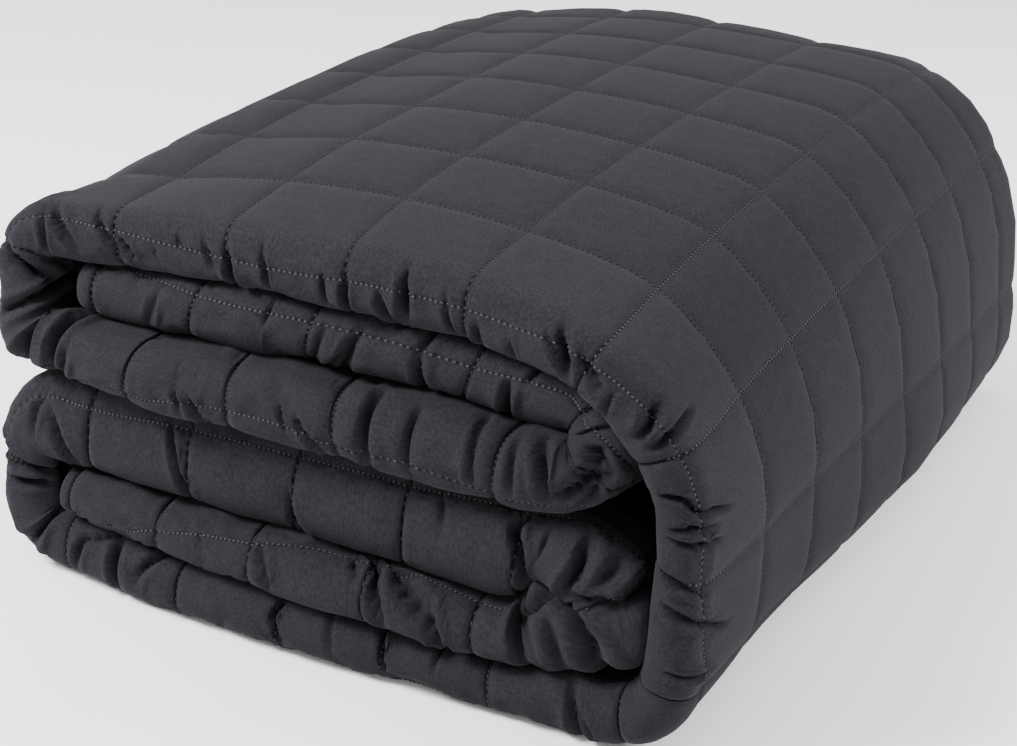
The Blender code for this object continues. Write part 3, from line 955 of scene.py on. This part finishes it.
cloth, cloth_shader, tree = new_material(
    "charcoal_microfibre", Roughness=0.95, Sheen_Weight=0.02, Sheen_Roughness=0.35,
    Specular_IOR_Level=0.08)
place = tree.node("ShaderNodeUVMap", uv_map="cloth")
seam, width = (tree.node("ShaderNodeSeparateXYZ", {0: place}, output=axis)
               for axis in ("X", "Y"))
grain = tree.node("ShaderNodeTexNoise", {"Vector": place, "Scale": GRAIN, "Detail": 3.0})
mottle = tree.node("ShaderNodeTexNoise", {"Vector": place, "Scale": MOTTLE, "Detail": 3.0})
tone = 0.5 + (grain - 0.5) * 2.0 + (mottle - 0.5) * 0.6
print("a grain of the nap in mm:", round(1000 * SQUARE / GRAIN, 1))

# %% Holes, and painted shade along the sunk seams
STITCHES = 22                         # stitches along one square


def on_line(distance, reach):
    """1 on a seam, falling to 0 at this distance from it."""
    return tree.node("ShaderNodeMapRange", {"Value": distance, "From Min": 0.0,
                                            "From Max": reach, "To Min": 1.0,
                                            "To Max": 0.0}, interpolation_type="SMOOTHSTEP")


def holes(across, along):
    """The holes between the stitches of the seams that lie at whole numbers."""
    off_seam = tree.maths("PINGPONG", across, 0.5)
    off_hole = 0.5 - tree.maths("PINGPONG", along * STITCHES, 0.5)
    return on_line(off_seam, 0.013) * on_line(off_hole, 0.42)


# the holes are dented into the nap's bump, and darkened with painted shade below
hole_dent_and_shade = tree.maths("MAXIMUM", holes(seam, width), holes(width, seam))
crease_shade_node = tree.node("ShaderNodeAttribute", output="Fac", attribute_name="painted_crease_shade")
# painted shade: a thin zigzag along each cross seam where it is sunk on the round front edge
off_seam = tree.node("ShaderNodeMath", {0: seam, 1: 0.5, 2: -0.5}, operation="WRAP")
zigzag = tree.maths("PINGPONG", width * STITCHES, 0.5) * 0.03 - 0.0075
seam_shade = on_line(tree.maths("ABSOLUTE", off_seam + zigzag, 0.0), 0.024)
front_edge = on_line(tree.maths("ABSOLUTE", width + 0.2, 0.0), 0.7)
# painted shade: inside the deep creases, along the sunk seams at the front edge, and in the
# stitch holes
shade = tree.maths("MAXIMUM", crease_shade_node, seam_shade * front_edge)
shade = tree.maths("MAXIMUM", shade, hole_dent_and_shade * 0.6)
print("a stitch and its hole take up, in mm:", round(1000 * SQUARE / STITCHES, 1))

# %% Colour, painted shade and nap
DARK_NAP = (0.0068, 0.0068, 0.0086, 1)
LIGHT_NAP = (0.0164, 0.0164, 0.0198, 1)
# painted shade: the colour the cloth takes where shade is painted
IN_SHADE = (0.0016, 0.0016, 0.002, 1)

colour = tree.node("ShaderNodeMix", {"Factor": tone, "A": DARK_NAP, "B": LIGHT_NAP},
                   output="Result", data_type="RGBA")
# the painted shade draws the colour towards IN_SHADE
colour = tree.node("ShaderNodeMix", {"Factor": shade * 0.85, "A": colour, "B": IN_SHADE},
                   output="Result", data_type="RGBA")
nap = tree.node("ShaderNodeBump", {"Height": grain - hole_dent_and_shade * 3.0, "Distance": 0.0003,
                                   "Strength": 0.6})
cloth.node_tree.links.new(colour.socket, cloth_shader.inputs["Base Color"])
cloth.node_tree.links.new(nap.socket, cloth_shader.inputs["Normal"])
mesh.materials.append(cloth)
print("nodes in the cloth:", len(cloth.node_tree.nodes))

# %% [markdown]
# ## Stitches
#
# Every seam is a row of short stitches. A dashed line in the material would do from
# afar, but close up each stitch is a small ridge of thread. They are all alike, so one
# stitch is made and Geometry Nodes set it on thousands of points. Each point carries the
# directions along the seam and out of the cloth.
#
# The thread is grey along the front edge and on the big fold, where it catches the
# light, and as dark as the cloth everywhere else. On the two left turns the front seam
# is sewn with the dark thread, as painted shade. One stretch of the front seam has none:
# there the cloth is tucked into the lower right turn and swallows its thread.

# %% Rows of stitches
LOWEST_STITCH = 0.0015                # no stitch lies lower above the floor, in metres
STEP = 0.005                          # used to measure which way a seam runs
LIFT = 0.02                           # used to measure which way is out


def face_point(seam, width, lift=0.0):
    """A place on the outer face, in metres."""
    level = relief(seam, width) + lift
    return to_metres(folded(seam, width, level), LOWEST_STITCH)


def stitch_line(seam, width):
    """Middle of each stitch on a line, direction along the seam, and way out."""
    lengthwise = float(seam[0, 0] != seam[-1, 0])
    along, across = STEP * lengthwise, STEP * (1 - lengthwise)
    ahead = face_point(seam + along, width + across)
    behind = face_point(seam - along, width - across)
    middle = face_point(seam, width)
    return middle, ahead - behind, face_point(seam, width, LIFT) - middle


def stitch_middles(first, last):
    """Middles of the stitches from one place of a seam to another."""
    numbers = np.arange(math.ceil(first * STITCHES), math.ceil(last * STITCHES))
    return numbers[:, None] / STITCHES


def across_seam(number, first, last):
    """Stitches of a seam that runs from front to back."""
    places = stitch_middles(first, last)
    return stitch_line(np.full(places.shape, float(number)), places)


def along_seam(number, first, last):
    """Stitches of a seam that runs lengthwise through the tiers."""
    places = stitch_middles(first, last)
    return stitch_line(places, np.full(places.shape, float(number)))


print("stitches along five squares:", len(stitch_middles(0, 5)))

# %% Which seams are light and which are dark
LIGHT_STRETCHES = ((0.0, 10.9), (11.62, 25.5), (26.65, 32.05), (32.6, 37.1))
# painted shade: here the front seam is sewn with the dark thread
SHADED_STRETCHES = ((10.9, 11.62), (25.5, 26.65))     # in the two left turns
CROSS_SEAMS = range(38)
BIG_FOLD_SEAMS = range(16, 21)
OUTSIDE_SEAMS = range(10, 28)         # the cross seams that show behind the front edge
LONG_SEAMS = range(1, 8)              # the seams behind the one along the front edge
OUTSIDE_STRETCH = (9.7, 27.2)         # where these show
UNDER_EDGE, FRONT_EDGE, BEHIND_EDGE, BACK_EDGE = -0.85, -0.1, 0.5, 7.7

light_lines = [along_seam(0, first, last) for first, last in LIGHT_STRETCHES]
# high on the big fold a seam's thread ends at the front seam, further down it goes under
light_lines += [across_seam(number, FRONT_EDGE if number < 19 else UNDER_EDGE, BACK_EDGE)
                for number in BIG_FOLD_SEAMS]
dark_lines = [across_seam(number, UNDER_EDGE,
                          BACK_EDGE if number in OUTSIDE_SEAMS else BEHIND_EDGE)
              for number in CROSS_SEAMS if number not in BIG_FOLD_SEAMS]
dark_lines += [along_seam(number, *OUTSIDE_STRETCH) for number in LONG_SEAMS]
# the front seam in the two left turns, in dark thread as painted shade
dark_lines += [along_seam(0, first, last) for first, last in SHADED_STRETCHES]
print("seams with light and with dark thread:", len(light_lines), len(dark_lines))

# %% One stitch on every point
sewing_tree = bpy.data.node_groups.new("sew_stitches", "GeometryNodeTree")
sockets = sewing_tree.interface
sockets.new_socket("Geometry", in_out="INPUT", socket_type="NodeSocketGeometry")
inputs = {}
for name, kind in (("Length", "NodeSocketFloat"), ("Width", "NodeSocketFloat"),
                   ("Height", "NodeSocketFloat"), ("Thread", "NodeSocketMaterial")):
    inputs[name] = sockets.new_socket(name, in_out="INPUT", socket_type=kind).identifier
sockets.new_socket("Geometry", in_out="OUTPUT", socket_type="NodeSocketGeometry")
given = sewing_tree.nodes.new("NodeGroupInput")
tree = Value(sewing_tree)
points_in, length, breadth, height, thread = (Value(sewing_tree, socket)
                                              for socket in given.outputs[:5])
along, out = (tree.node("GeometryNodeInputNamedAttribute", {"Name": name},
                        data_type="FLOAT_VECTOR") for name in ("along", "out"))
turned = tree.node("FunctionNodeAxesToRotation", {0: out, 1: along},
                   primary_axis="Z", secondary_axis="X")
size = tree.node("ShaderNodeCombineXYZ", {"X": length / 2, "Y": breadth / 2,
                                          "Z": height / 2})
bead = tree.node("GeometryNodeMeshUVSphere", {"Segments": 6, "Rings": 3, "Radius": 1.0})
sewn = tree.node("GeometryNodeInstanceOnPoints", {"Points": points_in, "Instance": bead,
                                                  "Rotation": turned, "Scale": size})
plain = tree.node("GeometryNodeRealizeInstances", {"Geometry": sewn})
finished = tree.node("GeometryNodeSetMaterial", {"Geometry": plain, "Material": thread})
leaving = sewing_tree.nodes.new("NodeGroupOutput")
sewing_tree.links.new(finished.socket, leaving.inputs[0])
print("nodes for sewing:", len(sewing_tree.nodes))


# %% Sew the seams
def thread_material(name, dark, light):
    """Thread with a fine twist of two tones."""
    material, shader, tree = new_material(name, Roughness=0.7, Specular_IOR_Level=0.25)
    place = tree.node("ShaderNodeTexCoord", output="Object")
    twist = tree.node("ShaderNodeTexNoise", {"Vector": place, "Scale": 900.0})
    colour = tree.node("ShaderNodeMix", {"Factor": twist, "A": dark, "B": light},
                       output="Result", data_type="RGBA")
    material.node_tree.links.new(colour.socket, shader.inputs["Base Color"])
    return material


def sew(name, lines, material, **sizes):
    """Set a stitch of this size on every point of the lines, as one plain mesh."""
    middles, directions, normals = (np.concatenate(column).reshape(-1, 3)
                                    for column in zip(*lines))
    places = bpy.data.meshes.new(name)
    places.from_pydata(middles.tolist(), [], [])
    for label, values in (("along", directions), ("out", normals)):
        attribute = places.attributes.new(label, "FLOAT_VECTOR", "POINT")
        attribute.data.foreach_set("vector", values.ravel())
    holder = bpy.data.objects.new("points", places)
    bpy.context.scene.collection.objects.link(holder)
    modifier = holder.modifiers.new("stitches", "NODES")
    modifier.node_group = sewing_tree
    modifier[inputs["Thread"]] = material
    for label, value in sizes.items():
        modifier[inputs[label]] = value
    evaluated = holder.evaluated_get(bpy.context.evaluated_depsgraph_get())
    sewn = bpy.data.objects.new(name, bpy.data.meshes.new_from_object(evaluated))
    bpy.context.scene.collection.objects.link(sewn)
    bpy.data.objects.remove(holder)
    print(name, "stitches:", len(middles), "triangles:",
          sum(len(face.vertices) - 2 for face in sewn.data.polygons))
    return sewn


light_thread = thread_material("grey_thread", (0.014, 0.014, 0.016, 1),
                               (0.03, 0.03, 0.033, 1))
dark_thread = thread_material("dark_thread", (0.007, 0.007, 0.009, 1),
                              (0.018, 0.018, 0.021, 1))
light_stitches = sew("light_stitches", light_lines, light_thread, Length=0.0014,
                     Width=0.001, Height=0.0008)
dark_stitches = sew("dark_stitches", dark_lines, dark_thread, Length=0.0018,
                    Width=0.0007, Height=0.0006)

# %% [markdown]
# ## Floor, light and camera
#
# The blanket lies on a pale floor, in a pale room that lights it from all sides. The
# room's light alone would do, but dark cloth would look flat in it. So a large lamp in
# front on the left draws out the seams, and another on the right, a little behind,
# shapes the big fold. Large lamps are chosen because small ones would cast hard shadows.

# %% Floor and room
bpy.ops.mesh.primitive_plane_add(size=6, location=(0, 0, cad_low[2]))
floor = bpy.context.object
floor.name = "floor"
paper, _, _ = new_material("pale_paper", Base_Color=(0.9, 0.9, 0.9, 1), Roughness=0.9)
floor.data.materials.append(paper)
floor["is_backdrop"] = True

world = bpy.data.worlds.new("studio")
bpy.context.scene.world = world
world.use_nodes = True
world.node_tree.nodes["Background"].inputs["Color"].default_value = (1, 1, 1, 1)
world.node_tree.nodes["Background"].inputs["Strength"].default_value = 1.45
print("the floor lies at a height of:", cad_low[2])


# %% Lamps
def softbox(name, place, size, power):
    """A square lamp that points at the middle of the floor."""
    light = bpy.data.lights.new(name, "AREA")
    light.size = size
    light.energy = power
    lamp = bpy.data.objects.new(name, light)
    lamp.location = place
    away = -lamp.location
    lamp.rotation_mode = "QUATERNION"
    lamp.rotation_quaternion = away.to_track_quat("-Z", "Y")
    bpy.context.scene.collection.objects.link(lamp)
    print(name, "lamp's distance in metres:", round(away.length, 2))


softbox("key", (-0.8, -0.8, 1.1), size=0.5, power=61)
softbox("fill", (1.3, 0.5, 0.8), size=0.6, power=36)

# %% [markdown]
# ## The view
#
# We look at the corner between the front and the big fold, from above. A camera could
# be aimed with a Track To constraint, but that would keep its horizon level, and this
# view is rolled a little. So the camera's three directions are worked out from the
# angles and put straight into its matrix.

# %% Camera
from mathutils import Matrix

AZIMUTH, ELEVATION, ROLL = (math.radians(angle) for angle in (26.8, 22.0, 2.0))
DISTANCE, LENS = 17.15 * SQUARE, 70.8             # in metres, and in millimetres
AIM = np.array((0.183, -0.013, 1.492)) * SQUARE
SHIFT = (-0.50 * SQUARE, -0.51 * SQUARE)          # the camera steps to the left and down
back = np.array((math.sin(AZIMUTH) * math.cos(ELEVATION),
                 -math.cos(AZIMUTH) * math.cos(ELEVATION), math.sin(ELEVATION)))
level_right = np.cross(-back, (0, 0, 1))
level_right /= np.linalg.norm(level_right)
level_up = np.cross(level_right, -back)
right = math.cos(ROLL) * level_right + math.sin(ROLL) * level_up
up = math.cos(ROLL) * level_up - math.sin(ROLL) * level_right
camera = bpy.data.objects.new("camera", bpy.data.cameras.new("camera"))
bpy.context.scene.collection.objects.link(camera)
camera.data.lens = LENS
camera.data.dof.use_dof = False
stand = AIM + back * DISTANCE + right * SHIFT[0] + up * SHIFT[1]
placed = np.eye(4)
placed[:3, :3] = np.column_stack((right, up, back))
placed[:3, 3] = stand
camera.matrix_world = Matrix(placed.tolist())
bpy.context.scene.camera = camera
print("the camera stands at, in metres:", stand.round(2).tolist())

# %% [markdown]
# ## Hand over
#
# Last, each piece is told which body it rides on, and the cloth takes the solid's place.
# The stitches could be a sheet of their own, but they are sewn into the cloth, so they
# ride on the same body. The cloth is a folded sheet of a known flat size, held by nothing
# but its folds.

# %% Pieces
import json

threads = [light_stitches, dark_stitches]
for piece in [blanket] + threads:
    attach(piece, "root")
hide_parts("weighted_blanket")
